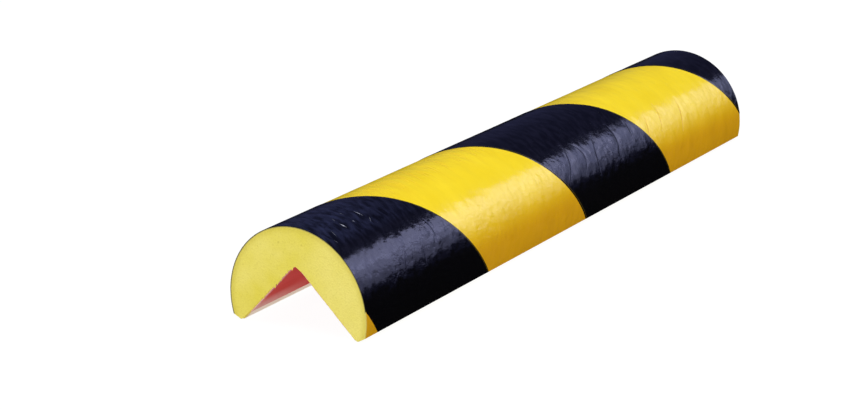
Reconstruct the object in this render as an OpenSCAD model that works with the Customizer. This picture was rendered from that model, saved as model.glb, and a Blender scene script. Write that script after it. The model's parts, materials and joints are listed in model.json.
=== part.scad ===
// Foam corner guard: a round length of soft foam with a notch along its
// underside, which sits over the corner of a frame, a rack or a wall. A coloured
// film covers the round outside and carries slanting black warning bands. A strip
// of adhesive tape under a peel-off liner lies on each inner face.
// The guard stands on the tips of its two feet, with its length along Y. The crown
// is the top of its round outside.

/* [Guard] */
// Length of the guard, along the corner it covers
guard_length = 200; // [60:5:1000]
// Diameter of the round outside, over the printed film
outer_d = 40; // [32:0.5:60]
// Thickness from the crown down to the inner corner
crown_t = 9; // [6:0.5:12]
// Angle of the corner that the guard fits over
corner_angle = 90; // [80:1:100]
// Radius moulded into the inner corner
corner_r = 0.5; // [0.2:0.1:1.5]
// Width of the flat that each foot is cut to, from its tip to the outside
foot_w = 2.7; // [1.5:0.1:5]
// Rise of that flat from the tip outwards, in degrees
foot_rise = 28; // [0:1:40]

/* [Film] */
// Thickness of the coloured film
film_t = 0.35; // [0.2:0.05:1]

/* [Warning bands] */
// Width of a black band, measured along the guard
black_w = 50; // [20:1:80]
// Width of the yellow left between two bands, measured along the guard
yellow_w = 50; // [20:1:80]
// Front edge of the first band on the crown, from the guard's front end
first_band = -22; // [-60:1:60]
// Slant of the bands on the flat film, away from straight across, in degrees
band_slant = 37; // [0:1:50]
// Thickness of the black print on the film
print_t = 0.1; // [0.05:0.01:0.2]

/* [Adhesive tape] */
// Thickness of the adhesive tape
tape_t = 0.25; // [0.1:0.05:0.5]
// Bare foam between the radius in the inner corner and the tape
corner_gap = 0.5; // [0.3:0.1:2]
// Bare foam between the tape and the tip of the foot
foot_gap = 0.6; // [0.5:0.1:2]
// Thickness of the peel-off liner
liner_t = 0.1; // [0.06:0.01:0.2]
// Width of tape that the liner leaves bare, beside the foot
bare_tape_w = 3; // [0.5:0.5:6]

/* [Hidden] */
$fn = 180;

// radii of the round outside, from the print in to the foam
outer_r = outer_d / 2;
film_r = outer_r - print_t;
foam_r = film_r - film_t;

// half the corner's angle, and how far the round's centre lies below the corner
half_angle = corner_angle / 2;
centre_drop = outer_r - crown_t;

// The foot's flat runs from the inner face to the round outside, foot_w away. The
// law of cosines, solved for the inner face's width, puts it there.
face_b = foot_w * sin(half_angle - foot_rise) - centre_drop * cos(half_angle);
face_c = pow(foot_w, 2) + pow(centre_drop, 2) - pow(outer_r, 2)
       + 2 * foot_w * centre_drop * sin(foot_rise);
face_w = sqrt(pow(face_b, 2) - face_c) - face_b;

// tip of the right foot, the inner corner and the round's centre, over the ground
tip_x = face_w * sin(half_angle);
corner_z = face_w * cos(half_angle);
centre_z = corner_z - centre_drop;

// centre of the radius in the inner corner, and where it meets the right face
corner_r_z = corner_z - corner_r / sin(half_angle);
meet_x = corner_r * cos(half_angle);
meet_z = corner_r_z + corner_r * sin(half_angle);

// both ends of the guard
front_y = -guard_length / 2;
rear_y = guard_length / 2;

// Angle round the outside from the crown to a foot, and how far a band travels
// along the guard on the way there
foot_turn = atan2(tip_x + foot_w * cos(foot_rise), foot_w * sin(foot_rise) - centre_z);
band_rate = tan(band_slant) * outer_r * PI / 180;
band_travel = band_rate * foot_turn;
band_pitch = black_w + yellow_w;

// A band's cutter passes the print by this much inside and outside, and a foot by
// one step. Its steps round the outside are no larger than this many degrees.
cutter_over = 1;
cutter_step = 6;

// the tape's near edge and width on an inner face, and the liner's width
tape_start = corner_r / tan(half_angle) + corner_gap;
tape_w = face_w - foot_gap - tape_start;
liner_w = tape_w - bare_tape_w;

film_yellow = [0.96, 0.80, 0.10];
foam_yellow = [0.90, 0.85, 0.38];
print_black = [0.07, 0.07, 0.12];
tape_white = [0.93, 0.92, 0.86];
liner_red = [0.74, 0.18, 0.20];

// All that lies below the guard in its section: the notch, with the radius in its
// corner, and what the cut along each foot's flat takes away
module space_below() {
    far = 2 * outer_d;
    far_x = tip_x + far * cos(foot_rise);
    far_z = far * sin(foot_rise);
    translate([0, corner_r_z])
        circle(r = corner_r);
    polygon([
        [meet_x, meet_z], [tip_x, 0], [far_x, far_z], [far_x, -far],
        [-far_x, -far], [-far_x, far_z], [-tip_x, 0], [-meet_x, meet_z]
    ]);
}

// Section inside a radius round the centre. A hollow radius makes it a skin.
module section(radius, hollow = 0) {
    difference() {
        translate([0, centre_z])
            circle(r = radius);
        if (hollow > 0)
            translate([0, centre_z])
                circle(r = hollow);
        space_below();
    }
}

// A section carried along the whole guard, with both ends cut square
module along_guard() {
    translate([0, rear_y, 0])
        rotate([90, 0, 0])
            linear_extrude(guard_length)
                children();
}

// Helical slab that cuts one band out of the print. It climbs along the guard as
// it goes round, so the band is straight on the flat film.
module band_cutter(crown_y) {
    in_r = film_r - cutter_over;
    out_r = outer_r + cutter_over;
    reach = foot_turn + cutter_step;
    steps = 2 * ceil(reach / cutter_step);
    corners = [
        for (i = [0 : steps])
            let (turn = reach * (2 * i / steps - 1), y = crown_y + band_rate * turn)
                for (c = [[in_r, y], [out_r, y], [out_r, y + black_w], [in_r, y + black_w]])
                    [c.x * sin(turn), c.y, centre_z + c.x * cos(turn)]
    ];
    walls = [
        for (i = [0 : steps - 1], k = [0 : 3])
            let (a = 4 * i + k, b = 4 * i + (k + 1) % 4)
                each [[a, b, b + 4], [a, b + 4, a + 4]]
    ];
    last = 4 * steps;
    caps = [[0, 2, 1], [0, 3, 2], [last, last + 1, last + 2], [last, last + 2, last + 3]];
    polyhedron(corners, concat(walls, caps));
}

// Strip along the right inner face. It starts at a distance from the inner corner,
// and lies off the foam by a height.
module face_strip(start, width, height, thickness) {
    translate([0, front_y, corner_z])
        rotate([0, 90 - half_angle, 0])
            translate([start, 0, -height - thickness])
                cube([width, guard_length, thickness]);
}

module foam_core() {
    color(foam_yellow)
        along_guard()
            section(foam_r);
}

module cover_film() {
    color(film_yellow)
        along_guard()
            section(film_r, foam_r);
}

// Every band that touches the guard, from the front one, which the front end cuts
module black_bands() {
    first = floor((-black_w - band_travel - first_band) / band_pitch) + 1;
    last = ceil((guard_length + band_travel - first_band) / band_pitch) - 1;
    color(print_black)
        for (i = [first : last])
            intersection() {
                along_guard()
                    section(outer_r, film_r);
                band_cutter(front_y + first_band + i * band_pitch);
            }
}

module tape_right() {
    color(tape_white)
        face_strip(tape_start, tape_w, 0, tape_t);
}

module tape_left() {
    mirror([1, 0, 0])
        tape_right();
}

module liner_right() {
    color(liner_red)
        face_strip(tape_start, liner_w, tape_t, liner_t);
}

module liner_left() {
    mirror([1, 0, 0])
        liner_right();
}

foam_core();
cover_film();
black_bands();
tape_left();
tape_right();
liner_left();
liner_right();
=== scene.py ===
"""Dresses the foam corner guard for its studio picture.

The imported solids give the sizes. Each visible piece is modelled here again with the
detail of the real material: foam with its knife-cut ends, a thin film that creases
round the foam, the print on that film, and the tape with its peel-off liner.
Lengths are in metres, and the guard lies along Y with its crown up.
"""

import json
import logging
import math
from contextlib import contextmanager
from dataclasses import dataclass, field
from enum import Enum
from functools import partial
from typing import Any, Callable, Iterator, Sequence

import bpy
import numpy as np
from bpy.types import ID, Material, Node, NodeSocket, NodeTree, Object, World
from mathutils import Matrix, Vector, noise
from numpy import ndarray

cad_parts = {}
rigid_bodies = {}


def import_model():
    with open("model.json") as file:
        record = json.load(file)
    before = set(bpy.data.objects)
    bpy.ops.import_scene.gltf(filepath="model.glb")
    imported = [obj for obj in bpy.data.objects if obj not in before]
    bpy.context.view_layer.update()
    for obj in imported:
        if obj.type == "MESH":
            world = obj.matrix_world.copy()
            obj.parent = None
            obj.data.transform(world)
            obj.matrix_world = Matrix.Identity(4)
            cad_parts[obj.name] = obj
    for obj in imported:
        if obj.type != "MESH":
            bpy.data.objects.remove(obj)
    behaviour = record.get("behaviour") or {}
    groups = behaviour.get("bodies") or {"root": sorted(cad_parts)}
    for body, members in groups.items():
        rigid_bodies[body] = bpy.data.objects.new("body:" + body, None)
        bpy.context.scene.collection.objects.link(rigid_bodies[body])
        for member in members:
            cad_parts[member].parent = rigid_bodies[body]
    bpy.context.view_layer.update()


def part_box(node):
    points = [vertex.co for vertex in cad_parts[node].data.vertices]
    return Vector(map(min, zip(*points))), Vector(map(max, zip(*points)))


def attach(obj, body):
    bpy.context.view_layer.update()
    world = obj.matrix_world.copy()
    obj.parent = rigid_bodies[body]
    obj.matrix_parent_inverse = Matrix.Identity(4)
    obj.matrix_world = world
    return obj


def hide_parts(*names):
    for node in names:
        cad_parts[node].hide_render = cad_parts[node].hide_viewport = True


LOG = logging.getLogger("corner_guard")
MM = 0.001
SAME_PLACE = 1e-6
SIN_45 = math.sqrt(0.5)
# A feature size in millimetres so long that noise hardly changes along the guard's whole length
EVEN = 1000
BODY = "root"
FLAT_MAP = "flat_film"
# Places on the flat film: how far each is from the crown, and how far from the front end
FilmPlaces = tuple[ndarray, ndarray]
Triple = tuple[float, float, float]


class Side(Enum):
    """The two halves of the guard, by the sign of their X."""

    LEFT = -1
    RIGHT = 1


class CreaseKind(Enum):
    """Kinds of crease, each with what its half length, slope, bow, bottom width and depth range over."""

    DEEP = ((6, 11), (-0.62, -0.08), (-0.02, 0.02), (0.4, 0.6), (0.06, 0.09))
    SOFT = ((2.5, 6), (-0.62, -0.08), (-0.02, 0.02), (0.4, 0.6), (0.015, 0.035))
    LONG = ((6, 12), (-0.42, -0.18), (0.0, 0.025), (0.4, 0.6), (0.03, 0.055))


# Geometry helpers


def deselect_all() -> None:
    """Leaves nothing selected, so that an operator acts on the new piece alone."""
    bpy.ops.object.select_all(action="DESELECT")


def select_only(piece: Object) -> None:
    """Makes a piece the selected and the active one.

    Args:
        piece: the piece.
    """
    deselect_all()
    piece.select_set(True)
    bpy.context.view_layer.objects.active = piece


@contextmanager
def edit_all_of(piece: Object) -> Iterator[None]:
    """Puts a piece in edit mode with everything in it selected, until the block ends.

    Args:
        piece: the piece.

    Yields:
        Once, in edit mode.
    """
    select_only(piece)
    bpy.ops.object.mode_set(mode="EDIT")
    bpy.ops.mesh.select_all(action="SELECT")
    yield
    bpy.ops.object.mode_set(mode="OBJECT")


def new_grid(name: str, columns: int, rows: int, width: float, length: float) -> Object:
    """Adds a flat sheet of even faces, centred on the origin.

    Args:
        name: name of the new piece.
        columns: number of faces across the width.
        rows: number of faces along the length.
        width: size along X.
        length: size along Y.

    Returns:
        The new sheet, selected and active.
    """
    deselect_all()
    bpy.ops.mesh.primitive_grid_add(x_subdivisions=columns, y_subdivisions=rows, size=1, location=(0, 0, 0))
    piece = bpy.context.object
    piece.name = piece.data.name = name
    with edit_all_of(piece):
        bpy.ops.transform.resize(value=(width, length, 1))
    return piece


def points_of(piece: Object) -> ndarray:
    """Reads the places of a piece's vertices.

    Args:
        piece: the piece.

    Returns:
        The places, one row each.
    """
    flat = np.zeros(len(piece.data.vertices) * 3)
    piece.data.vertices.foreach_get("co", flat)
    return flat.reshape(-1, 3)


def move_points(piece: Object, points: ndarray) -> None:
    """Puts a piece's vertices at new places, one row each."""
    piece.data.vertices.foreach_set("co", points.ravel())
    piece.data.update()


def keep_values(piece: Object, **values: ndarray) -> None:
    """Stores numbers for the vertices, which a material reads by their name.

    Args:
        piece: the piece.
        values: for each name, a number for each vertex.
    """
    for name, numbers in values.items():
        attribute = piece.data.attributes.new(name, "FLOAT", "POINT")
        attribute.data.foreach_set("value", numbers.astype(np.float32))


def unevenness(places: Sequence[ndarray], size: Sequence[float], seed: float) -> ndarray:
    """Works out smooth noise, which repeats nowhere on the guard.

    Args:
        places: X, Y and if need be Z of each place, in metres.
        size: rough size of the noise's features along each of those axes, in millimetres.
        seed: shifts the noise, so that two uses differ.

    Returns:
        A value from about -1 to 1 for each place.
    """
    scaled = [axis / (step * MM) + seed for axis, step in zip(places, size)]
    scaled += [np.full_like(scaled[0], seed)] * (3 - len(scaled))
    return np.array([noise.noise(Vector(place)) for place in zip(*scaled)])


def smooth_step(values: ndarray, low: float, high: float) -> ndarray:
    """Returns 0 below low, 1 above high, and an even curve between them."""
    t = np.clip((values - low) / (high - low), 0, 1)
    return t * t * (3 - 2 * t)


def rise_and_fall(values: ndarray, rise: Sequence[float], fall: Sequence[float],
                  drop: float = 1.0) -> ndarray:
    """Works out a share that rises from 0 to 1 and then falls again.

    Args:
        values: places along one axis.
        rise: where it starts and ends to rise, in millimetres.
        fall: where it starts and ends to fall, in millimetres.
        drop: how much of it falls away.

    Returns:
        The share at each place.
    """
    up, down = (smooth_step(values, start * MM, end * MM) for start, end in (rise, fall))
    return up * (1 - drop * down)


def standing(place: Vector, right: Vector, up: Vector, back: Vector) -> Matrix:
    """Returns the transform that puts something at a place, with its own axes along the given ones."""
    return Matrix.Translation(place) @ Matrix((right, up, back)).transposed().to_4x4()


def put_up(name: str, data: ID, stance: Matrix) -> Object:
    """Adds a lamp or camera to the scene.

    Args:
        name: name of its object.
        data: the lamp or camera.
        stance: its transform.

    Returns:
        Its object.
    """
    made = bpy.data.objects.new(name, data)
    bpy.context.scene.collection.objects.link(made)
    made.matrix_world = stance
    return made


def hand_over(piece: Object, finish: "Finish", node: str, sharp: float = 35) -> None:
    """Gives a closed piece its shading, its material and its place in the frame.

    Args:
        piece: the shaped piece.
        finish: the finish that it is dressed in.
        node: the CAD node that it stands for.
        sharp: the angle in degrees past which an edge is shaded sharp.
    """
    with edit_all_of(piece):
        bpy.ops.mesh.normals_make_consistent(inside=False)
    bpy.ops.object.shade_smooth_by_angle(angle=math.radians(sharp))
    piece.data.materials.clear()
    piece.data.materials.append(finish.build())
    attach(piece, BODY)
    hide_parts(node)
    triangles = sum(len(face.vertices) - 2 for face in piece.data.polygons)
    LOG.info("%s: %d triangles, stands for %s", piece.name, triangles, node)


# Sizes that the pieces share


@dataclass(frozen=True)
class GuardSection:
    """Section and length of the guard, as the solids have them.

    Attributes:
        length: length along Y.
        outer_r: radius over the print.
        print_t: thickness of the print.
        film_t: thickness of the film.
        crown_t: thickness from the crown down to the inner corner.
        corner_r: radius moulded into the inner corner.
        foot_w: width of the flat that each foot is cut to.
        foot_rise: rise of that flat from the tip outwards, in radians.
    """

    length: float
    outer_r: float
    print_t: float = 0.1 * MM
    film_t: float = 0.35 * MM
    crown_t: float = 9 * MM
    corner_r: float = 0.5 * MM
    foot_w: float = 2.7 * MM
    foot_rise: float = math.radians(28)

    @classmethod
    def from_frame(cls) -> "GuardSection":
        """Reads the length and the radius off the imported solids.

        Returns:
            The section of the guard.
        """
        low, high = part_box("foam_core")
        print_low, print_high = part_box("black_bands")
        return cls(length=high.y - low.y, outer_r=(print_high.x - print_low.x) / 2)

    @property
    def film_r(self) -> float:
        """Radius over the film."""
        return self.outer_r - self.print_t

    @property
    def foam_r(self) -> float:
        """Radius over the foam."""
        return self.film_r - self.film_t

    @property
    def face_w(self) -> float:
        """Width of an inner face, from the inner corner to the tip of a foot."""
        drop, half = self.outer_r - self.crown_t, math.pi / 4
        b = self.foot_w * math.sin(half - self.foot_rise) - drop * math.cos(half)
        c = self.foot_w**2 + drop**2 - self.outer_r**2 + 2 * self.foot_w * drop * math.sin(self.foot_rise)
        return math.sqrt(b * b - c) - b

    @property
    def tip_x(self) -> float:
        """Distance of a foot's tip from the middle, which is also the inner corner's height."""
        return self.face_w * SIN_45

    @property
    def centre_z(self) -> float:
        """Height of the round's centre."""
        return self.tip_x + self.crown_t - self.outer_r

    @property
    def front(self) -> float:
        """Y of the front end."""
        return -self.length / 2

    @property
    def half_arc(self) -> float:
        """Width of the flat print from the crown to a foot."""
        return self.outer_r * float(self.foot_turn(np.array(self.outer_r)))

    def foot_turn(self, radius: ndarray) -> ndarray:
        """Works out where a layer round the foam meets the foot's flat.

        Args:
            radius: radius of each place.

        Returns:
            The turn from the crown, in radians.
        """
        along, up = math.cos(self.foot_rise), math.sin(self.foot_rise)
        b = self.tip_x * along - self.centre_z * up
        c = self.tip_x**2 + self.centre_z**2 - np.square(radius)
        out = np.sqrt(b * b - c) - b
        return np.arctan2(self.tip_x + out * along, out * up - self.centre_z)

    def on_round(self, radius: ndarray, turn: ndarray) -> tuple[ndarray, ndarray]:
        """Returns X and Z of places at a radius from the round's centre and a turn from the crown."""
        return radius * np.sin(turn), self.centre_z + radius * np.cos(turn)

    def at_end(self, y: ndarray, within: float = SAME_PLACE) -> ndarray:
        """Returns whether each Y is within a distance of either end."""
        return np.abs(y) > self.length / 2 - within

    def inner_line(self, share: ndarray) -> ndarray:
        """Follows the notch's outline.

        Args:
            share: from -1 at the left tip through 0 at the inner corner to 1 at the right tip.

        Returns:
            X and Z of each point.
        """
        corner = self.corner_r * math.pi / 4
        run = np.abs(share) * (self.face_w - self.corner_r + corner)
        turn = np.minimum(run, corner) / self.corner_r
        past = np.maximum(run - corner, 0) * SIN_45
        top = self.tip_x - self.corner_r * (math.sqrt(2) - 1)
        x = self.corner_r * np.sin(turn) + past
        z = top - self.corner_r * (1 - np.cos(turn)) - past
        return np.stack([np.sign(share) * x, z], axis=1)


@dataclass(frozen=True)
class WarningBands:
    """Black bands, straight and slanting on the flat film.

    Attributes:
        black_w: width of a band, along the guard.
        yellow_w: width of the yellow between two bands, along the guard.
        first: front edge of the first band on the crown, from the front end.
        slant: slant of the bands away from straight across, in radians.
    """

    black_w: float = 50 * MM
    yellow_w: float = 50 * MM
    first: float = -22 * MM
    slant: float = math.radians(37)

    @property
    def pitch(self) -> float:
        """Distance from one band to the next, along the guard."""
        return self.black_w + self.yellow_w

    def edges(self, section: GuardSection) -> list[float]:
        """Works out where each band edge that touches the film crosses the crown.

        Args:
            section: sizes of the guard.

        Returns:
            The distances from the front end.
        """
        travel = math.tan(self.slant) * section.half_arc
        starts = [self.first + self.pitch * k for k in range(-3, math.ceil(section.length / self.pitch) + 3)]
        both = [y for start in starts for y in (start, start + self.black_w)]
        return [y for y in both if -travel < y < section.length + travel]

    def depth_inside(self, places: FilmPlaces) -> ndarray:
        """Works out how far each place lies inside a black band, square to its edge.

        Args:
            places: places on the flat film.

        Returns:
            Positive in the black, negative in the yellow.
        """
        across, along = places
        phase = (along - math.tan(self.slant) * across - self.first) % self.pitch
        black = np.minimum(phase, self.black_w - phase)
        yellow = np.minimum(phase - self.black_w, self.pitch - phase)
        return np.where(phase <= self.black_w, black, -yellow) * math.cos(self.slant)


# Materials. A MapRange node gets its value, the range that it comes from and the range that it goes to

Adder = Callable[..., Node]
SMOOTH = {"interpolation_type": "SMOOTHSTEP"}


def linear(hex_colour: str) -> tuple[float, float, float, float]:
    """Turns a colour as it is seen into Blender's linear values.

    Args:
        hex_colour: the sRGB colour, such as "#E4D862".

    Returns:
        Red, green, blue and an alpha of 1.
    """
    parts = [int(hex_colour[i : i + 2], 16) / 255 for i in (1, 3, 5)]
    red, green, blue = (p / 12.92 if p <= 0.04045 else ((p + 0.055) / 1.055) ** 2.4 for p in parts)
    return (red, green, blue, 1.0)


def feed(tree: NodeTree, socket: NodeSocket, source: Any) -> None:
    """Gives an input what it gets.

    Args:
        tree: the node tree.
        socket: the input.
        source: a value, the node or socket that feeds it, or the name of the piece's attribute
            that does. None leaves it as it is.
    """
    if isinstance(source, str):
        source = add_node(tree, "Attribute", attribute_name=source).outputs["Fac"]
    elif isinstance(source, Node):
        source = next(output for output in source.outputs if output.enabled)
    if isinstance(source, NodeSocket):
        tree.links.new(source, socket)
    elif source is not None:
        socket.default_value = source


def add_node(tree: NodeTree, kind: str, *sources: Any, **settings: Any) -> Node:
    """Adds a node, sets it and links it.

    Args:
        tree: the node tree.
        kind: the node's type, without the "ShaderNode" before it.
        sources: what its first inputs get, in their order, as feed takes it.
        settings: properties by their names, what further inputs get by theirs, with "_" for a
            space, and stops, the places and colours of a ramp.

    Returns:
        The new node.
    """
    node = tree.nodes.new(f"ShaderNode{kind}")
    for count, (place, colour) in enumerate(settings.pop("stops", ())):
        node.color_ramp.elements[count].position = place
        node.color_ramp.elements[count].color = linear(colour)
    own = {key: value for key, value in settings.items() if hasattr(node, key)}
    for key, value in own.items():
        setattr(node, key, value)
    inputs = [socket for socket in node.inputs if socket.enabled]
    named = {socket.name.replace(" ", "_"): socket for socket in inputs}
    for socket, source in zip(inputs, sources):
        feed(tree, socket, source)
    for key in settings.keys() - own.keys():
        feed(tree, named[key], settings[key])
    return node


def blank_nodes(holder: Material | World) -> Adder:
    """Clears the nodes of a material or world.

    Args:
        holder: the material or world.

    Returns:
        What adds a node to it.
    """
    holder.use_nodes = True
    holder.node_tree.nodes.clear()
    return partial(add_node, holder.node_tree)


@dataclass(frozen=True)
class Look:
    """What the nodes of a finish give its shader.

    Attributes:
        colour: the colour of the bare material.
        layers: colours over it, from the lowest up, each after what says how strongly it shows.
        bumps: heights from 0 to 1, each before the millimetres that 1 stands for, below 0 for a hollow.
        roughness: the roughness, where it isn't the same all over.
    """

    colour: Node
    layers: Sequence[tuple[Any, str]]
    bumps: Sequence[tuple[Node, float]]
    roughness: Node | None = None


@dataclass(frozen=True)
class Finish:
    """A finish of one piece: a named material with its own nodes.

    Attributes:
        name: the real material and how its surface was made.
        colour: colour as it is seen.
        roughness: roughness of the surface.
        specular: strength of the gloss, where 0.5 is what the index of refraction gives.
        specular_tint: tint of the mirrored light.
        bump_strength: how fully the bumps show.
        ior: index of refraction.
    """

    name: str
    colour: str
    roughness: float
    specular: float = 0.5
    specular_tint: str = "#FFFFFF"
    bump_strength: float = 1.0
    ior: float = 1.5

    def build(self) -> Material:
        """Makes the material, unless another piece already has it.

        Returns:
            The material.
        """
        made = bpy.data.materials.get(self.name)
        if made is not None:
            return made
        made = bpy.data.materials.new(self.name)
        made.diffuse_color = linear(self.colour)
        add = blank_nodes(made)
        look = self.dress(add)
        colour, normal = look.colour, None
        for share, laid in look.layers:
            colour = add("Mix", share, colour, linear(laid), data_type="RGBA")
        for height, rise in look.bumps:
            normal = add("Bump", Strength=self.bump_strength, Distance=abs(rise) * MM, invert=rise < 0,
                         Height=height, Normal=normal)
        shader = add("BsdfPrincipled", linear(self.colour), Roughness=self.roughness, IOR=self.ior,
                     Specular_IOR_Level=self.specular, Specular_Tint=linear(self.specular_tint))
        for name, source in {"Base Color": colour, "Normal": normal, "Roughness": look.roughness}.items():
            feed(made.node_tree, shader.inputs[name], source)
        add("OutputMaterial", shader)
        return made

    def dress(self, add: Adder) -> Look:
        """Adds the nodes that make this finish what it is.

        Args:
            add: adds a node to the material.

        Returns:
            What they give the shader.
        """
        raise NotImplementedError

    def grain_of(self, add: Adder, vector: Any, feature: Sequence[float], detail: float = 3.0,
                 distortion: float = 0.0) -> Node:
        """Adds noise whose features have a given size.

        Args:
            add: adds a node to the material.
            vector: the coordinates that it follows, in metres.
            feature: size of a feature along each axis in millimetres, along X and Y on the flat film.
            detail: how much finer noise lies in it.
            distortion: how far it is pulled out of shape.

        Returns:
            The noise, from 0 to 1.
        """
        sized = add("Mapping", vector, Scale=(*(1 / (f * MM) for f in feature), 1.0)[:3])
        return add("TexNoise", sized, Scale=1.0, Detail=detail, Distortion=distortion)


@dataclass(frozen=True)
class FilmFinish(Finish):
    """Thin film stretched over foam, with its wrinkles. The yellow film and the black print share it.

    Attributes:
        crease_shade_colour: painted shade colour down in the creases and along the slack lines.
        crease_matt: how much rougher the film is there.
        lay: direction that the wrinkles run in on the flat film, away from straight across, in radians.
    """

    crease_shade_colour: str = "#000000"
    crease_matt: float = 0.7
    lay: float = math.radians(11)

    def dress(self, add: Adder) -> Look:
        """Adds the wrinkles that are too fine to be modelled.

        Args:
            add: adds a node to the material.

        Returns:
            What they and the film's own colours give the shader.
        """
        flat = add("UVMap", uv_map=FLAT_MAP)
        round_foam = add("Mapping", flat, vector_type="POINT", Rotation=(0, 0, self.lay))
        # long thin lines round the foam, where the film is slack
        long = self.grain_of(add, round_foam, (22, 3.0), 1.0, 0.15)
        beside = add("Math", add("Math", long, 0.5, operation="SUBTRACT"), operation="ABSOLUTE")
        thin = add("MapRange", beside, 0.0, 0.10, 1.0, 0.0, **SMOOTH)
        drag = add("Math", thin, "slack", operation="MULTIPLY")
        # grain like leather with a finer crackle, where the film was pressed together
        shift = add("TexNoise", flat, Scale=1 / (2.2 * MM), Detail=2.0).outputs["Color"]
        moved = add("VectorMath", shift, (0.9 * MM,) * 3, round_foam, operation="MULTIPLY_ADD")
        cells = add("Mapping", moved, Scale=(1 / (2.5 * MM), 1 / (2.7 * MM), 1.0))
        cushions = add("TexVoronoi", cells, feature="SMOOTH_F1", Scale=1.0, Smoothness=0.08)
        raised = add("MapRange", cushions, 0.10, 0.66, 1.0, 0.0, **SMOOTH)
        leather = add("Math", raised, "grained", operation="MULTIPLY")
        fine = self.grain_of(add, round_foam, (1.1, 1.5), 2.0, 0.5)
        crackle = add("Math", fine, "grained", operation="MULTIPLY")
        # the sharp bottoms of the creases, which also take painted shade
        off = add("Math", "crease_off", operation="ABSOLUTE")
        near = add("MapRange", off, 0.0, 0.42, 1.0, 0.0, **SMOOTH)
        crease = add("Math", near, "crease_hold", operation="MULTIPLY")
        # soft swellings, the smaller unevenness of foam under thin film, and the cast film's orange peel
        swell = self.grain_of(add, round_foam, (4.8, 3.4), 1.0)
        foamy = self.grain_of(add, flat, (2.2, 1.6), 1.5, 0.4)
        peel = self.grain_of(add, flat, (0.7, 1.0), 1.0)
        bumps = ((swell, 0.19), (foamy, 0.05), (peel, 0.010), (drag, -0.035), (leather, 0.07),
                 (crackle, 0.10), (crease, -0.06))
        # painted shade: the slack lines and the crease bottoms are darkened in colour, and made rougher
        faint, dark = (add("Math", lines, share, operation="MULTIPLY")
                       for lines, share in ((drag, 0.20), (crease, 0.55)))
        line = add("Math", faint, dark, operation="MAXIMUM")
        matt = add("Math", line, self.crease_matt, self.roughness, operation="MULTIPLY_ADD")
        colour, under, over = self.coloured(add, flat, round_foam)
        return Look(colour, (*under, (line, self.crease_shade_colour), *over), bumps, matt)

    def coloured(self, add: Adder, flat: Node, round_foam: Node) -> tuple[Node, tuple, tuple]:
        """Adds the film's colours, with the light and shade that are painted into them.

        Args:
            add: adds a node to the material.
            flat: the flat film's coordinates.
            round_foam: the same, turned to the wrinkles.

        Returns:
            The bare colour, the layers under the painted shade of the creases, and those over it.
        """
        raise NotImplementedError


@dataclass(frozen=True)
class YellowFilm(FilmFinish):
    """Cast film, dyed through and stretched over the foam: glossy, with softly shining swellings."""

    name: str = "polyurethane_film_cast_glossy_dyed_yellow"
    colour: str = "#F8D92C"
    roughness: float = 0.2
    specular_tint: str = "#D8DCFF"
    # painted shade colour for the creases and the slack lines
    crease_shade_colour: str = "#DD9E05"

    def coloured(self, add: Adder, flat: Node, round_foam: Node) -> tuple[Node, tuple, tuple]:
        """Adds the uneven dye, the painted shade down the sides and the inked cut edge.

        Args:
            add: adds a node to the material.
            flat: the flat film's coordinates.
            round_foam: the same, turned to the wrinkles. It is not used here.

        Returns:
            The bare colour, the layers under the painted shade of the creases, and those over it.
        """
        dye = self.grain_of(add, flat, (14, 9), 2.0)
        # painted shade: the side colours are darker and more orange than the crown's
        crown, side = (add("ValToRGB", dye, stops=((0.3, low), (0.7, high)))
                       for low, high in (("#EED11D", "#F5DA28"), ("#CE9A02", "#D7A203")))
        # painted light and shade: lighter lemon over the crown and a darker orange down the sides, centred
        # 6.5 mm right of the crown
        beside = add("Math", add("SeparateXYZ", flat), 6.5 * MM, operation="SUBTRACT")
        away = add("Math", beside, operation="ABSOLUTE")
        crown_to_side_shade = add("MapRange", away, 12 * MM, 24 * MM, **SMOOTH)
        # the cut edge: the foam's colour comes through it, and its rim is inked
        edge = (("clear", "#DDD36A"), ("inked", "#33322C"))
        return add("Mix", crown_to_side_shade, crown, side, data_type="RGBA"), (), edge


@dataclass(frozen=True)
class ScuffGlint:
    """A scuff where something rubbed the print, painted as the short pale glint that it gives, on the flat
    film and in millimetres.

    Attributes:
        across: distance of its middle from the crown.
        along: distance of its middle from the front end.
        half: half of its length.
        narrow: half of its width.
        turn: turn away from straight across, in degrees.
        strength: how bright its painted glint is.
    """

    across: float
    along: float
    half: float
    narrow: float
    turn: float
    strength: float


SCUFF_GLINTS = (
    ScuffGlint(7.65, 9.9, 1.1, 0.20, 10, 1.0),
    ScuffGlint(6.1, 18.3, 1.5, 0.13, 5, 0.75),
    ScuffGlint(7.8, 14.0, 0.5, 0.16, 9, 0.55),
    ScuffGlint(9.4, 18.8, 1.1, 0.12, -39, 0.35),
    ScuffGlint(8.7, 4.7, 1.4, 0.14, -15, 0.22),
    ScuffGlint(4.6, 10.1, 0.8, 0.14, -16, 0.25),
    ScuffGlint(3.8, 14.5, 0.9, 0.12, -2, 0.2),
    ScuffGlint(10.9, 2.7, 0.7, 0.14, 6, 0.18),
)


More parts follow.
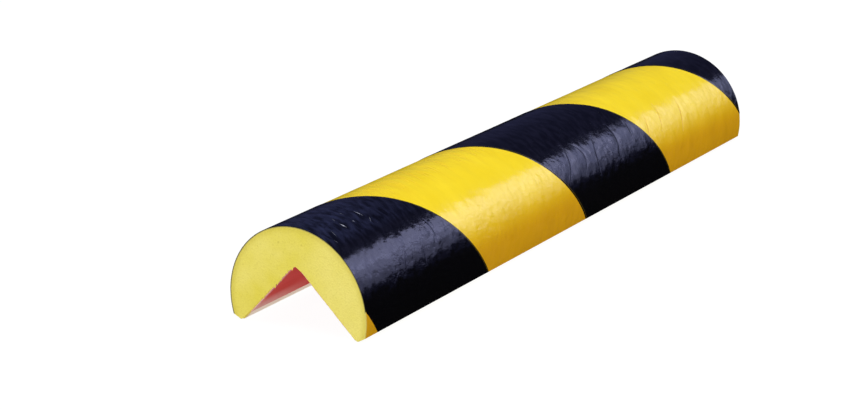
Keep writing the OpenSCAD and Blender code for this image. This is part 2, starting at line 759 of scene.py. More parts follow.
@dataclass(frozen=True)
class BlackPrint(FilmFinish):
    """Ink printed on the film: glossy and black, with a painted dim bluish reflection in streaks over the
    crown near the front, painted shade down the sides, and pale scuffs.
    """

    name: str = "solvent_ink_printed_glossy_black"
    colour: str = "#0A0A14"
    roughness: float = 0.17
    specular: float = 0.55
    specular_tint: str = "#BCC0FF"
    # painted shade colour for the creases and the slack lines
    crease_shade_colour: str = "#020206"

    def coloured(self, add: Adder, flat: Node, round_foam: Node) -> tuple[Node, tuple, tuple]:
        """Adds the uneven ink, the painted reflection and shade, the thin line beside its edges and the
        scuffs.

        Args:
            add: adds a node to the material.
            flat: the flat film's coordinates.
            round_foam: the same, turned to the wrinkles.

        Returns:
            The bare colour, the layers under the painted shade of the creases, and those over it.
        """
        # painted reflection: lighter navy streaks over the crown near the front stand for a dim bluish
        # reflection; elsewhere the streaks stay near black
        streaks = self.grain_of(add, round_foam, (3.6, 1.5), 6.0, 0.4)
        painted_navy_reflection = add("ValToRGB", streaks, stops=((0.37, "#06070C"), (0.70, "#262A44")))
        even = add("ValToRGB", streaks, stops=((0.42, "#050507"), (0.74, "#13131E")))
        place = add("SeparateXYZ", flat).outputs
        # painted reflection and shade: the navy is kept within 8 to 45 mm of the front and 9.5 to 13 mm of
        # the crown; from 14 to 24 mm out, the ink is painted darker as shade down the sides
        rear, beside, low = (
            add("MapRange", place[axis], start * MM, end * MM)
            for axis, start, end in (("Y", 8, 45), ("X", 9.5, 13), ("X", 14, 24)))
        past_navy_reflection = add("Math", rear, beside, operation="MAXIMUM")
        # the ink drew back from its own thick edge, and the film shows through a little
        off = add("Math", "inside", 0.38 * MM, operation="SUBTRACT")
        away = add("Math", off, operation="ABSOLUTE")
        thin = add("MapRange", away, 0.0, 0.15 * MM, 0.5, 0.0)
        fading = add("Math", thin, rear, operation="MULTIPLY")
        # painted highlight: the scuffs' glints are painted pale over the ink
        return (add("Mix", past_navy_reflection, painted_navy_reflection, even, data_type="RGBA"),
                ((low, "#050507"), (fading, "#7A6C20")), ((self.painted_scuff_glints(add, flat), "#C2C7DA"),))

    def painted_scuff_glints(self, add: Adder, flat: Node) -> Node:
        """Adds the scuffs' painted glints as small pale ellipses.

        Args:
            add: adds a node to the material.
            flat: the flat film's coordinates.

        Returns:
            How bright the painted glint is at each place.
        """
        pale = None
        for scuff in SCUFF_GLINTS:
            placed = add("Mapping", flat, (scuff.across * MM, scuff.along * MM, 0),
                         (0, 0, math.radians(scuff.turn)), (scuff.half * MM, scuff.narrow * MM, 1),
                         vector_type="TEXTURE")
            out = add("VectorMath", placed, operation="LENGTH")
            stroke = add("MapRange", out, 0.2, 1.0, scuff.strength, 0.0)
            pale = stroke if pale is None else add("Math", pale, stroke, operation="MAXIMUM")
        gaps = add("MapRange", self.grain_of(add, flat, (0.5, 0.2), 1.0), 0.35, 0.55, 0.35)
        return add("Math", pale, gaps, operation="MULTIPLY")


@dataclass(frozen=True)
class CutFoam(Finish):
    """Closed-cell foam, cut with a knife, so that its fine cells lie open: matt, with specks and pits."""

    name: str = "polyurethane_foam_moulded_knife_cut_end"
    colour: str = "#E4D862"
    roughness: float = 0.85
    specular: float = 0.2

    def dress(self, add: Adder) -> Look:
        """Adds the open cells, the darker specks, the uneven dye, painted light towards the right and the
        painted shade of a few larger pits.

        Args:
            add: adds a node to the material.

        Returns:
            What they give the shader.
        """
        place = add("TexCoord").outputs["Object"]
        dye = self.grain_of(add, place, (7,) * 3)
        dyed = add("ValToRGB", dye, stops=((0.3, "#E3D957"), (0.7, "#ECE376")))
        # painted light: the cut end is painted paler towards +X
        painted_right_light = add("MapRange", add("SeparateXYZ", place), 0.0, 15 * MM, 0.0, 0.5)
        # the real cells are finer, and are drawn 0.42 mm wide so that they show
        cells = add("TexVoronoi", place, Scale=1 / (0.42 * MM))
        specks = self.grain_of(add, place, (0.5,) * 3, 2.0)
        dark = add("MapRange", specks, 0.52, 0.80, 0.0, 0.35)
        # a few larger pits, whose shade is painted as darker spots
        pits = add("MapRange", add("TexVoronoi", place, Scale=1 / (4.2 * MM)), 0.03, 0.10, 0.45, 0.0)
        layers = ((painted_right_light, "#F2EA8D"), (dark, "#C6B845"), (pits, "#B9AA3C"), ("rim", "#CFC24C"))
        return Look(dyed, layers, ((cells, 0.05), (specks, 0.12)))


@dataclass(frozen=True)
class MilkyTape(Finish):
    """Double-sided acrylic tape, slit to width: milky white, faintly cloudy and tacky."""

    name: str = "acrylic_foam_tape_slit_milky_white"
    colour: str = "#EEEADB"
    roughness: float = 0.5
    specular: float = 0.1
    bump_strength: float = 0.6

    def dress(self, add: Adder) -> Look:
        """Adds the faint cloudiness, the cut end and the tacky surface.

        Args:
            add: adds a node to the material.

        Returns:
            What they give the shader.
        """
        place = add("TexCoord").outputs["Object"]
        cloud = self.grain_of(add, place, (1.5, 6, 1.5))
        milky = add("ValToRGB", cloud, stops=((0.3, "#FBF9F4"), (0.7, "#FFFFFF")))
        return Look(milky, (("cut_end", "#DDCB5C"),), ((self.grain_of(add, place, (0.5,) * 3), 0.02),))


@dataclass(frozen=True)
class RedLiner(Finish):
    """Silicone-coated peel-off liner, extruded thin and dyed: satin red with soft waves, pale edges, and a
    painted pale sheen by the foot at the front end.
    """

    name: str = "polyethylene_liner_extruded_satin_red"
    colour: str = "#D8423E"
    roughness: float = 0.42
    specular: float = 0.15

    def dress(self, add: Adder) -> Look:
        """Adds the uneven dye, the pale slit edges with a painted pale sheen by the front foot, and the soft
        waves.

        Args:
            add: adds a node to the material.

        Returns:
            What they give the shader.
        """
        place = add("TexCoord").outputs["Object"]
        cloud = self.grain_of(add, place, (3, 14, 3), 2.0)
        dyed = add("ValToRGB", cloud, stops=((0.3, "#D84E50"), (0.7, "#E25C60")))
        waves = self.grain_of(add, place, (2, 5, 2), 2.0)
        return Look(dyed, (("pale", "#F0CDD2"),), ((waves, 0.03),))


# Pieces


@dataclass(frozen=True)
class FoamBody:
    """The foam: a round profile with a notch, cut square at both ends.

    Attributes:
        section: sizes of the guard.
        columns: faces round the section, from foot to foot.
        rows: faces from the notch out to the film.
        steps: faces along the guard.
        end_row: length of the extra faces at each end, which carry the ragged lips.
        lip_w: how far from an end the points lie that are dragged down into the lips.
        lip_reach: how near to the notch's outline they lie.
        sag_w: how wide the lip's sag at the inner corner is, from its middle.
        wander: how far the knife's cut wanders into the ends.
        tip_softness: how far the foam's thin tips are rounded off.
        rim_w: width of the rim under the film where the foam is darker.
        rim_shade: how strongly its darker colour shows.
    """

    section: GuardSection
    columns: int = 180
    rows: int = 24
    steps: int = 60
    end_row: float = 0.3 * MM
    lip_w: float = 0.2 * MM
    lip_reach: float = 0.25 * MM
    sag_w: float = 1.7 * MM
    wander: float = 0.06 * MM
    tip_softness: float = 0.3 * MM
    rim_w: float = 1.6 * MM
    rim_shade: float = 0.55

    def build(self) -> None:
        """Makes the foam and hands it over."""
        section, piece = self.section, self.end_face()
        self.carry_along(piece)
        at = points_of(piece)
        radius = np.hypot(at[:, 0], at[:, 2] - section.centre_z)
        rim = smooth_step(radius, section.foam_r - self.rim_w, section.foam_r)
        keep_values(piece, rim=rim * self.rim_shade)
        self.soften(at, section.foam_r - radius)
        self.hang_lips(at)
        move_points(piece, at)
        hand_over(piece, CutFoam(), "foam_core", sharp=40)

    def end_face(self) -> Object:
        """Shapes a sheet of small faces into the section, in the plane of the front end.

        Returns:
            The new piece.
        """
        section = self.section
        piece = new_grid("foam_body", self.columns, self.rows, 2.0, 1.0)
        share, out, _ = points_of(piece).T
        turn = share * section.foot_turn(np.array(section.foam_r))
        outer = np.stack(section.on_round(section.foam_r, turn), axis=1)
        inner = section.inner_line(share)
        at = inner + (outer - inner) * (out[:, None] + 0.5)
        move_points(piece, np.insert(at, 1, section.front, axis=1))
        return piece

    def carry_along(self, piece: Object) -> None:
        """Extrudes the section from the front end to the rear, and cuts the short faces at both ends.

        Args:
            piece: the section's sheet.
        """
        length = self.section.length
        with edit_all_of(piece):
            bpy.ops.mesh.extrude_repeat(steps=self.steps, offset=(0, length / self.steps, 0))
            for sign in (-1, 1):
                bpy.ops.mesh.select_all(action="SELECT")
                bpy.ops.mesh.bisect(plane_co=(0, sign * (length / 2 - self.end_row), 0), plane_no=(0, 1, 0))

    def soften(self, at: ndarray, below: ndarray) -> None:
        """Lets the cut wander, opens a few cells in the ends and rounds the thin tips.

        Args:
            at: the foam's points, which are moved.
            below: how far each lies below the film.
        """
        wave = 0.5 + 0.5 * unevenness(at.T, (3, EVEN, 3), 3.1)
        pores = np.clip(unevenness(at.T, (0.7, EVEN, 0.7), 8.7) - 0.35, 0, 1) * 2.5
        inward = self.wander * (wave + pores * smooth_step(below, 0.0, 0.5 * MM))
        end = self.section.at_end(at[:, 1])
        at[end, 1] -= (np.sign(at[:, 1]) * inward)[end]
        for side in Side:
            gap = np.hypot(at[:, 0] - side.value * self.section.tip_x, at[:, 2])
            near = np.clip(1 - gap / (3 * self.tip_softness), 0, 1) ** 2
            soft = 0.75 + 0.5 * unevenness(at.T, (EVEN, 4, EVEN), 5.0 + side.value)
            at[:, 2] += near * soft * self.tip_softness * 0.6
            at[:, 0] += side.value * near * soft * self.tip_softness * 0.25

    def hang_lips(self, at: ndarray) -> None:
        """Drags the notch's edge down at both ends: in teeth on the left, in a soft sag at the corner.

        Args:
            at: the foam's points, which are moved.
        """
        x, y, z = at.T
        notch = np.abs(self.section.tip_x - np.abs(x) - z) < self.lip_reach
        lip = notch & self.section.at_end(y, self.lip_w)
        ragged = rise_and_fall(x, (-17, -8), (-1.2, 0))
        teeth = np.clip(0.40 + 1.5 * unevenness(at.T, (0.6, 1.3, 0.6), 12.2), 0.05, 1.1) * ragged
        sag = np.exp(-np.square(x / self.sag_w)) * 0.8
        at[lip, 2] -= ((teeth + sag) * MM)[lip]
        at[:, 2] = np.maximum(at[:, 2], 0.0)


@dataclass(frozen=True)
class Crease:
    """One crease of the film, on the flat film and in millimetres.

    Attributes:
        across: distance of its middle from the crown.
        along: distance of its middle from the front end.
        half: half of its length.
        slope: how far it moves along the guard for each step across.
        bow: how strongly it curves.
        narrow: width of its sharp bottom.
        down: depth of its bottom.
    """

    across: float
    along: float
    half: float
    slope: float
    bow: float
    narrow: float
    down: float


# The creases that show best, on the right side of the second black band and by the front one
MAIN_CREASES = (
    Crease(19.0, 102.3, 5.9, -0.49, -0.042, 0.40, 0.10),
    Crease(19.5, 110.1, 5.7, -0.14, -0.120, 0.40, 0.08),
    Crease(20.5, 115.8, 6.5, -0.43, 0.026, 0.40, 0.12),
    Crease(18.8, 128.6, 5.9, -0.25, -0.048, 0.40, 0.11),
    Crease(17.7, 136.9, 4.0, -0.20, 0.000, 0.40, 0.09),
    Crease(20.5, 146.0, 5.5, -0.40, 0.010, 0.40, 0.10),
    Crease(18.5, 155.0, 5.5, -0.35, -0.030, 0.40, 0.09),
    Crease(21.0, 166.0, 6.0, -0.45, 0.000, 0.40, 0.10),
    Crease(18.3, 34.8, 4.0, 0.06, -0.040, 0.40, 0.07),
    Crease(23.5, 28.0, 3.4, -0.30, 0.010, 0.40, 0.05),
    Crease(22.0, 20.5, 3.2, -0.45, 0.000, 0.40, 0.04),
)

# The drawn creases: their kind, how many, and how far from the crown and the front end, in millimetres
DRAWN_CREASES = (
    (CreaseKind.DEEP, 5, (-28, 2), (112, 196)),
    (CreaseKind.SOFT, 9, (10, 33), (62, 196)),
    (CreaseKind.SOFT, 12, (12, 33), (4, 62)),
    (CreaseKind.SOFT, 34, (-34, 12), (30, 198)),
    (CreaseKind.LONG, 40, (-34, 5), (26, 198)),
)


@dataclass
class CreaseField:
    """Creases and hollows of the film, worked out on the flat film.

    Attributes:
        seed: start of the random numbers.
        low_depth: depth of the long, low waves.
        ripple_depth: depth of the ripples that run round the foam.
        quilt_depth: depth of the network of small folds where the film was pressed.
        lay: slope of the ripples on the flat film.
        flanks: for each of the two hollows that a crease lies in, its share of the crease's depth
            and its width as a multiple of the sharp bottom's.
        deepest: the most that the film lies below its radius, in millimetres.
        full_depth: depth of a crease whose bottom shows fully, in millimetres.
        far_off: stands for the distance to a crease where none is near, in millimetres.
        creases: every crease, the main ones first.
    """

    seed: int = 4127
    low_depth: float = 0.035 * MM
    ripple_depth: float = 0.010 * MM
    quilt_depth: float = 0.022 * MM
    lay: float = -0.34
    flanks: tuple[tuple[float, float], ...] = ((0.40, 4.5), (0.22, 2.6))
    deepest: float = 0.27
    full_depth: float = 0.11
    far_off: float = 9.0
    creases: list[Crease] = field(default_factory=lambda: list(MAIN_CREASES))

    def __post_init__(self) -> None:
        """Draws the rest of the creases."""
        random = np.random.default_rng(self.seed)
        for kind, count, *area in DRAWN_CREASES:
            for _ in range(count):
                self.creases.append(Crease(*(random.uniform(*span) for span in (*area, *kind.value))))

    def depth(self, places: FilmPlaces) -> tuple[ndarray, ndarray, ndarray]:
        """Works out how deep the film lies at each place.

        Args:
            places: places on the flat film.

        Returns:
            The depth below the film's radius, the distance to the nearest main crease in millimetres,
            and how deep that crease is there, from 0 to 1.
        """
        x, y = (axis / MM for axis in places)
        wobble = unevenness(places, (7, 9), 2.3) * 0.5
        depth, held_best, nearest = np.zeros_like(x), np.zeros_like(x), np.full_like(x, self.far_off)
        for rank, crease in enumerate(self.creases):
            run = x - crease.across
            held = np.clip(1 - np.square(run / crease.half), 0, None) ** 1.5 * crease.down
            off = y - crease.along - crease.slope * run - crease.bow * run * run - wobble
            depth += held * sum(share * np.exp(-np.square(off / (spread * crease.narrow)))
                                for share, spread in self.flanks)
            if rank < len(MAIN_CREASES):
                closer = (held > 0.002) & (np.abs(off) < np.abs(nearest))
                nearest = np.where(closer, off, nearest)
                held_best = np.where(closer, held, held_best)
        leaning = (places[0], places[1] - self.lay * places[0])
        low = self.low_depth * (0.5 + 0.5 * unevenness(leaning, (14, 8), 6.6))
        ripple = self.ripple_depth * (0.5 + 0.5 * unevenness(leaning, (8, 2.3), 9.4))
        quilt = self.quilt_depth * (self.folds(places) * self.quilted(places))
        depth = np.clip((low + ripple + quilt) / MM + depth, 0, self.deepest) * MM
        hold = np.clip(held_best / self.full_depth, 0, 1) * (1 - smooth_step(np.abs(nearest), 0.9, 1.5))
        return depth, nearest, hold

    def folds(self, places: FilmPlaces) -> ndarray:
        """Draws a network of folds round small cushions.

        Args:
            places: places on the flat film.

        Returns:
            1 in the folds and 0 on the cushions.
        """
        across, along = places
        cells = (axis / size + 0.22 * unevenness(places, (3, 3), seed) for axis, size, seed in
                 ((across, 5.6 * MM, 21.3), (along - self.lay * across, 4.8 * MM, 34.9)))
        gaps = np.array([noise.voronoi(Vector((*cell, 0.5)))[0][:2] for cell in zip(*cells)])
        return 1 - smooth_step(gaps[:, 1] - gaps[:, 0], 0.0, 0.5)

    def quilted(self, places: FilmPlaces) -> ndarray:
        """Works out where the film was pressed together on itself.

        Args:
            places: places on the flat film.

        Returns:
            How strongly, from 0 to 1.
        """
        across, along = places
        patch = smooth_step(unevenness(places, (20, 26), 4.4), -0.3, 0.3)
        low = rise_and_fall(across, (9, 19), (30, 36), drop=0.6)
        far = 0.5 + 0.5 * smooth_step(along, 40 * MM, 72 * MM)
        return np.clip(low * far * (0.6 + 0.4 * patch) + 0.16 * patch, 0, 1)

    def grained(self, places: FilmPlaces) -> ndarray:
        """Works out where the film has a grain like leather.

        Args:
            places: places on the flat film.

        Returns:
            How strongly, from 0 to 1.
        """
        across, along = places
        patch = smooth_step(unevenness(places, (12, 16), 8.4), -0.3, 0.25)
        low = rise_and_fall(across, (13, 19), (28, 34), drop=0.7)
        middle = rise_and_fall(along, (6, 22), (92, 106), drop=0.6)
        return low * (0.3 + 0.7 * middle) * (0.45 + 0.55 * patch)

    def slack(self, places: FilmPlaces) -> ndarray:
        """Works out where the film is slack and lies in long thin lines.

        Args:
            places: places on the flat film.

        Returns:
            How strongly, from 0 to 1.
        """
        across, along = places
        crown = 1 - smooth_step(across, -2 * MM, 12 * MM)
        crown *= 1 - 0.7 * smooth_step(along, 84 * MM, 104 * MM)
        return np.clip(crown + 0.3 * smooth_step(across, 25 * MM, 31 * MM), 0, 1)


@dataclass(frozen=True)
class FilmSkin:
    """The film round the outside, with the black bands printed on it.

    The film is laid flat, cut along every band's edge, and wrapped round the foam. The
    print is a copy of its black fields, so that it lies on the film wherever that is creased.

    Attributes:
        section: sizes of the guard.
        bands: the black bands.
        creases: the creases in the film.
        columns: faces from foot to foot.
        rows: faces along the guard.
        edge_t: thickness of the print at its very edge.
        bead_w: distance from a band's edge to the thickest line of the print.
        settle_w: distance from a band's edge to where the print lies level.
        level_share: thickness of the level print, as a share of the thickest.
        merge_w: distance within which a cut takes a point that is there.
        nick: depth of the knife's nicks in the cut ends.
        ink_spread: how far past a band's edge the ink reaches on the rim of a cut end.
    """

    section: GuardSection
    bands: WarningBands
    creases: CreaseField
    columns: int = 100
    rows: int = 420
    edge_t: float = 0.02 * MM
    bead_w: float = 0.25 * MM
    settle_w: float = 0.6 * MM
    level_share: float = 0.85
    merge_w: float = 0.012 * MM
    nick: float = 0.05 * MM
    ink_spread: float = 0.1 * MM

    def build(self) -> None:
        """Makes the film and the print and hands them over."""
        film = self.flat_sheet()
        ink = self.print_off(film)
        self.wrap(film, is_print=False)
        self.wrap(ink, is_print=True)
        hand_over(film, YellowFilm(), "cover_film")
        hand_over(ink, BlackPrint(), "black_bands")

    def flat_sheet(self) -> Object:
        """Lays the film flat and cuts it along the lines that the print needs.

        Returns:
            The new film.
        """
        front, slant = self.section.front, self.bands.slant
        piece = new_grid("cover_film_creased", self.columns, self.rows,
                         2 * self.section.half_arc, self.section.length)
        steps = [sign * w / math.cos(slant) for w in (self.bead_w, self.settle_w) for sign in (-1, 1)]
        with edit_all_of(piece):
            for edge in self.bands.edges(self.section):
                for step in (0.0, *steps):
                    inside = self.bands.depth_inside((np.zeros(1), np.array([edge + step])))[0]
                    if step == 0.0 or inside > 0:
                        bpy.ops.mesh.select_all(action="SELECT")
                        bpy.ops.mesh.bisect(plane_co=(0, front + edge + step, 0), threshold=self.merge_w,
                                            plane_no=(-math.sin(slant), math.cos(slant), 0.0))
        return piece

    def print_off(self, film: Object) -> Object:
        """Copies the black fields of the flat film into a piece of their own.

        Args:
            film: the flat film, selected.

        Returns:
            The print, still flat.
        """
        mesh, before = film.data, set(bpy.data.objects)
        centres = np.zeros(len(mesh.polygons) * 3)
        mesh.polygons.foreach_get("center", centres)
        across, y, _ = centres.reshape(-1, 3).T
        for items in (mesh.vertices, mesh.edges):
            items.foreach_set("select", np.zeros(len(items), bool))
        black = self.bands.depth_inside((across, y - self.section.front)) > 0
        mesh.polygons.foreach_set("select", black)
        bpy.ops.object.mode_set(mode="EDIT")
        bpy.ops.mesh.select_mode(type="FACE")
        bpy.ops.mesh.duplicate()
        bpy.ops.mesh.separate(type="SELECTED")
        bpy.ops.mesh.select_mode(type="VERT")
        bpy.ops.object.mode_set(mode="OBJECT")
        ink = (set(bpy.data.objects) - before).pop()
        ink.name = ink.data.name = "black_bands_printed"
        return ink

    def print_height(self, inside: ndarray) -> ndarray:
        """Works out how thick the print lies.

        Args:
            inside: distance of each place inside a band's edge.

        Returns:
            The thickness there.
        """
        full = self.section.print_t
        heights = (self.edge_t, full, full * self.level_share)
        return np.interp(inside, (0.0, self.bead_w, self.settle_w), heights)

    def wrap(self, piece: Object, is_print: bool) -> None:
        """Thickens a flat sheet and wraps it round the foam, creases and all.

        Args:
            piece: the sheet, at height 0.
            is_print: whether it is the print, which lies on the film.
        """
        section, creases = self.section, self.creases
        thickness = section.print_t if is_print else section.film_t
        with edit_all_of(piece):
            bpy.ops.mesh.extrude_region_move(TRANSFORM_OT_translate={"value": (0, 0, -thickness)})
        across, y, height = flat = points_of(piece).T
        places, end, outer = (across, y - section.front), section.at_end(y), height > -thickness / 2
        inside = self.bands.depth_inside(places)
        depth, off, hold = creases.depth(places)
        top = bottom = section.film_r - depth
        if is_print:
            top = top + self.print_height(np.maximum(inside, 0))
            own = {"inside": inside}
        else:
            bottom = section.foam_r
            own = {"inked": (end & outer & (inside > -self.ink_spread)) * 0.9, "clear": end * 1.0}
        radius = np.where(outer, top, bottom)
        x, z = section.on_round(radius, across / section.half_arc * section.foot_turn(radius))
        self.keep_flat_map(piece, places)
        keep_values(piece, crease_off=off, crease_hold=hold, grained=creases.grained(places),
                    slack=creases.slack(places), **own)
        nick = (0.5 + 0.5 * unevenness(flat, (1.4, EVEN, EVEN), 1.7)) * self.nick
        move_points(piece, np.stack([x, y - end * np.sign(y) * nick, z], axis=1))

    def keep_flat_map(self, piece: Object, places: FilmPlaces) -> None:
        """Keeps each point's place on the flat film, in metres, as the piece's UV map.

        Args:
            piece: the film or the print.
            places: the place of each point.
        """
        mesh = piece.data
        while mesh.uv_layers:
            mesh.uv_layers.remove(mesh.uv_layers[0])
        layer = mesh.uv_layers.new(name=FLAT_MAP)
        corners = np.zeros(len(mesh.loops), dtype=np.int32)
        mesh.loops.foreach_get("vertex_index", corners)
        layer.data.foreach_set("uv", np.stack(places, axis=1)[corners].ravel())


@dataclass(frozen=True)
class FaceStrip:
    """A strip on one inner face: the adhesive tape, or the liner on it.

    Attributes:
        section: sizes of the guard.
        side: the half of the guard that it is on.
        name: what it is called, before its side.
        start: distance of its near edge from the inner corner.
        width: width across the inner face.
        height: distance of its lower surface from the foam.
        thickness: thickness of the strip.
        tooth: how deep the knife's teeth go into its cut ends.
        short: how far its ends stay back from the foam's at the least.
        slit: how far its slit edges wander.
        end_w: distance from the ends over which the mesh is drawn back with them.
        edge_w: the same for the slit edges.
        columns: faces across.
        rows: faces along.
    """

    section: GuardSection
    side: Side
    name: str
    start: float
    width: float
    height: float
    thickness: float
    tooth: float
    short: float = 0.1 * MM
    slit: float = 0.08 * MM
    end_w: float = 2 * MM
    edge_w: float = 1 * MM
    columns: int = 72
    rows: int = 110

    def build(self, finish: Finish, slot: str) -> None:
        """Makes the strip and hands it over.

        Args:
            finish: its finish.
            slot: the record's material slot. It is not used.
        """
        label = f"{self.name}_{self.side.name.lower()}"
        piece = new_grid(f"{label}_cut", self.columns, self.rows, self.width, self.section.length)
        self.roughen(piece)
        select_only(piece)
        wall = piece.modifiers.new("wall", "SOLIDIFY")
        wall.thickness, wall.offset = self.thickness, 1.0
        bpy.ops.object.modifier_apply(modifier=wall.name)
        self.lay_on_face(piece)
        hand_over(piece, finish, label)

    def roughen(self, piece: Object) -> None:
        """Gives the flat strip uneven slit edges and toothed ends, pale there, with a painted pale sheen by
        the foot in front.

        Args:
            piece: the flat strip.
        """
        at, half_w, half_l = points_of(piece), self.width / 2, self.section.length / 2
        # every strip lies elsewhere in the noise, so that no two are alike
        shifted = (at + np.array([0.0, 0.0, self.side.value * 0.05 + self.height * 40])).T
        teeth = np.abs(unevenness(shifted, (0.45, EVEN, 10), 7.7)) * 2
        teeth += 0.5 + 0.5 * unevenness(shifted, (2.5, EVEN, 10), 1.2)
        near = np.clip(1 - (half_l - np.abs(at[:, 1])) / self.end_w, 0, 1)
        at[:, 1] -= np.sign(at[:, 1]) * near * (np.clip(teeth, 0.05, 2) * self.tooth + self.short)
        edge = np.clip(1 - (half_w - np.abs(at[:, 0])) / self.edge_w, 0, 1)
        wander = 0.5 + 0.5 * unevenness(shifted, (100, 6, 10), 5.2)
        at[:, 0] -= np.sign(at[:, 0]) * edge * wander * self.slit
        x, y, _ = at.T
        cut, cut_end = (smooth_step(np.abs(y), half_l - start * MM, half_l - end * MM)
                        for start, end in ((0.7, 0.2), (0.9, 0.4)))
        # painted light: the strip is painted paler by its outer edge near the front end
        foot = smooth_step(x, half_w - 7 * MM, half_w) * (1 - smooth_step(y + half_l, 2 * MM, 26 * MM))
        keep_values(piece, pale=np.clip(cut * 0.75 + foot * 0.8, 0, 0.9), cut_end=cut_end)
        move_points(piece, at)

    def lay_on_face(self, piece: Object) -> None:
        """Turns the strip on to its inner face, and shifts it out by its height.

        Args:
            piece: the strip, lying flat.
        """
        outward = Vector((self.side.value * SIN_45, 0, -SIN_45))
        down = Vector((-self.side.value * SIN_45, 0, -SIN_45))
        corner = Vector((0, 0, self.section.tip_x))
        middle = corner + outward * (self.start + self.width / 2) + down * self.height
        piece.matrix_world = standing(middle, outward, Vector((0, 1, 0)), down)
        select_only(piece)
        bpy.ops.object.transform_apply(location=True, rotation=True, scale=True)


# Studio


@dataclass(frozen=True)
class SoftPanel:
    """A large soft lamp, aimed at the guard.

    Attributes:
        name: name of the lamp.
        place: place of its centre.
        width: size along its own X.
        length: size along its own Y.
        radiance: how bright its surface is, where 1 is white.
        colour: colour of its light.
        mirrored: whether gloss shows it.
        target: what it is aimed at.
    """

    name: str
    place: Triple
    width: float
    length: float
    radiance: float
    colour: str = "#FFFFFF"
    mirrored: bool = True
    target: Triple = (0.0, -0.03, 0.012)

    def build(self) -> None:
        """Hangs the lamp, aims it and switches it on."""
        lamp = bpy.data.lights.new(self.name, "AREA")
        lamp.shape = "RECTANGLE"
        lamp.size, lamp.size_y = self.width, self.length
        lamp.energy = self.radiance * math.pi * self.width * self.length
        lamp.color = linear(self.colour)[:3]
        aim = (Vector(self.place) - Vector(self.target)).normalized()
        side = Vector((0, 1, 0)).cross(aim).normalized()
        holder = put_up(self.name, lamp, standing(Vector(self.place), side, aim.cross(side), aim))
        holder.visible_camera = False
        holder.visible_glossy = self.mirrored


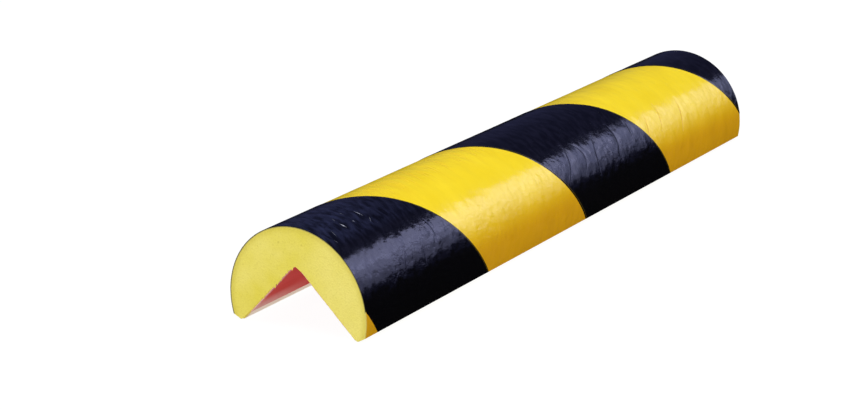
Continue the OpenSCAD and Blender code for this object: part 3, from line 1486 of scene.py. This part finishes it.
@dataclass(frozen=True)
class Studio:
    """Floor, air, lamps and camera of the picture.

    Attributes:
        floor_size: side of the square floor.
        floor_glow: brightness that the floor has of itself for the camera.
        floor_shade: colour that takes the guard's shadow, for the camera.
        floor_tone: colour of the floor as the guard sees it.
        floor_lift: brightness that the floor has of itself for the guard, as a lit table has.
        fill_colour: colour of the soft light that the floor and the air give back, a little warm.
        air_tone: brightness of the air as diffuse light.
        gloss_colour: colour of the air in gloss.
        gloss_tone: brightness of the air in gloss. It is low, because the photograph's
            film mirrors a dim room apart from its one lit panel.
        gloss_floor: brightness of the floor in gloss, lower again for the same reason.
        panel_far: distance of the long panels from the guard.
        cool_colour: colour of the light of those that stand farthest back.
        lens: the camera's focal length in millimetres.
        eye: place of the camera.
        azimuth: direction of the camera from the guard, round from -Y toward +X, in degrees.
        elevation: how far the camera looks down, in degrees.
        roll: turn of the camera about its own axis, in degrees.
        reach: the nearest and the farthest that the camera sees.
    """

    floor_size: float = 8.0
    floor_glow: float = 0.95
    floor_shade: str = "#525252"
    floor_tone: str = "#8C8C8C"
    floor_lift: float = 0.60
    fill_colour: str = "#FFF1DC"
    air_tone: float = 0.15
    gloss_colour: str = "#A4AAFF"
    gloss_tone: float = 0.10
    gloss_floor: float = 0.005
    panel_far: float = 1.4
    cool_colour: str = "#D9DFFF"
    lens: float = 94.848
    eye: Triple = (0.30606, -0.501961, 0.18283)
    azimuth: float = 33.69
    elevation: float = 16.852
    roll: float = -2.104
    reach: tuple[float, float] = (0.01, 50.0)

    def build(self) -> None:
        """Sets up everything round the guard."""
        self.lay_floor()
        self.light_air()
        for panel in self.panels():
            panel.build()
        self.place_camera()
        bpy.context.scene.view_settings.view_transform = "Standard"

    def panels(self) -> Iterator[SoftPanel]:
        """Plans the soft lamps.

        Yields:
            Each lamp.
        """
        for name, polar, width, radiance in (
            ("upper", 41, 18, 2.95), ("middle", 57, 14, 2.2), ("lower", 71, 14, 1.0)
        ):
            yield self.side_panel(name, polar, width, radiance)
            yield self.side_panel(f"{name}_far", polar, width, 0.65 * radiance, 58.8, 0.206, self.cool_colour)
        yield self.side_panel("rear", 49, 34, 0.8, 71.5, 0.418, self.cool_colour)
        yield SoftPanel("ceiling_box", (0.20, -0.04, 0.95), 0.9, 0.9, 2.8)
        yield SoftPanel("front_box", (0.34, -1.15, 0.46), 0.9, 0.7, 3.45)
        yield SoftPanel("rear_box", (0.0, 1.45, 0.28), 0.7, 0.5, 3.0, mirrored=False)
        yield SoftPanel("left_box", (-0.95, -0.25, 0.75), 0.8, 0.8, 2.2)

    def side_panel(self, name: str, polar: float, width: float, radiance: float, back: float = 39,
                   length: float = 0.78, colour: str = "#EEF0FF") -> SoftPanel:
        """Plans a long panel behind the guard's right side, which its film mirrors.

        Args:
            name: name of the lamp, after "panel_".
            polar: direction of its middle from straight up toward +X, in degrees.
            width: width as seen from the guard, in degrees.
            radiance: how bright it is.
            back: how far it stands back along the guard, in degrees.
            length: length along the guard.
            colour: colour of its light.

        Returns:
            The lamp.
        """
        angle, turn, half = (math.radians(v) for v in (polar, back, width / 2))
        flat = self.panel_far * math.cos(turn)
        place = (flat * math.sin(angle), self.panel_far * math.sin(turn), flat * math.cos(angle))
        return SoftPanel(f"panel_{name}", place, 2 * flat * math.tan(half), length, radiance, colour)

    def rays(self, add: Adder) -> tuple[NodeSocket, Node]:
        """Adds what tells a ray of the camera, and one that is mirrored or passes through glass.

        Args:
            add: adds a node to the floor's material or the world.

        Returns:
            Both, each 1 for such a ray and 0 for others.
        """
        path = add("LightPath").outputs
        gloss = add("Math", path["Is Glossy Ray"], path["Is Transmission Ray"], operation="MAXIMUM")
        return path["Is Camera Ray"], gloss

    def lay_floor(self) -> None:
        """Lays the pale floor: white to the camera, with the guard's soft shadow on it."""
        deselect_all()
        bpy.ops.mesh.primitive_plane_add(size=self.floor_size, location=(0, 0, 0))
        floor = bpy.context.object
        floor.name = "floor"
        paint = bpy.data.materials.new("studio_paper_matt_white")
        add = blank_nodes(paint)
        camera, gloss = self.rays(add)
        lift = add("Emission", linear(self.fill_colour), self.floor_lift)
        matt = add("AddShader", add("BsdfDiffuse", linear(self.floor_tone)), lift)
        glow = add("Emission", Strength=self.floor_glow)
        white = add("AddShader", add("BsdfDiffuse", linear(self.floor_shade)), glow)
        seen = add("MixShader", camera, matt, white)
        above = add("MixShader", gloss, seen, add("Emission", Strength=self.gloss_floor))
        below = add("NewGeometry").outputs["Backfacing"]
        add("OutputMaterial", add("MixShader", below, above, add("BsdfTransparent")))
        floor.data.materials.append(paint)

    def light_air(self) -> None:
        """Fills the air with soft light: white to the camera, dim in gloss."""
        world = bpy.data.worlds.new("studio_air")
        bpy.context.scene.world = world
        add = blank_nodes(world)
        camera, gloss = self.rays(add)
        soft = add("Background", linear(self.fill_colour), self.air_tone)
        dim = add("Background", linear(self.gloss_colour), self.gloss_tone)
        white = add("Background", linear("#FFFFFF"), 1.0)
        add("OutputWorld", add("MixShader", camera, add("MixShader", gloss, soft, dim), white))

    def place_camera(self) -> None:
        """Puts the camera where the photograph was taken from."""
        az, el, roll = (math.radians(angle) for angle in (self.azimuth, self.elevation, self.roll))
        back = Vector((math.sin(az) * math.cos(el), -math.cos(az) * math.cos(el), math.sin(el)))
        right = Vector((math.cos(az), math.sin(az), 0.0))
        up = back.cross(right)
        turned = math.cos(roll) * right + math.sin(roll) * up
        lifted = math.cos(roll) * up - math.sin(roll) * right
        lens = bpy.data.cameras.new("camera")
        lens.lens = self.lens
        lens.clip_start, lens.clip_end = self.reach
        bpy.context.scene.camera = put_up("camera", lens, standing(Vector(self.eye), turned, lifted, back))


def main() -> None:
    """Loads the frame, builds each piece in order and sets up the studio."""
    logging.basicConfig(level=logging.INFO, format="%(name)s: %(message)s")
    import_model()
    section = GuardSection.from_frame()
    LOG.info("inner faces %.3f mm wide, centre %.3f mm up", section.face_w / MM, section.centre_z / MM)
    FoamBody(section).build()
    FilmSkin(section, WarningBands(), CreaseField()).build()
    start, foot_gap, bare_tape = 1.0 * MM, 0.6 * MM, 3 * MM
    tape_t, liner_t = 0.25 * MM, 0.1 * MM
    tape_w = section.face_w - foot_gap - start
    for side in Side:
        tape = FaceStrip(section, side, "tape", start, tape_w, 0.0, tape_t, tooth=0.08 * MM)
        tape.build(MilkyTape(), "white_tape")
        liner_w = tape_w - bare_tape
        liner = FaceStrip(section, side, "liner", start, liner_w, tape_t, liner_t, tooth=0.14 * MM)
        liner.build(RedLiner(), "red_liner")
    Studio().build()


if __name__ == "__main__":
    main()
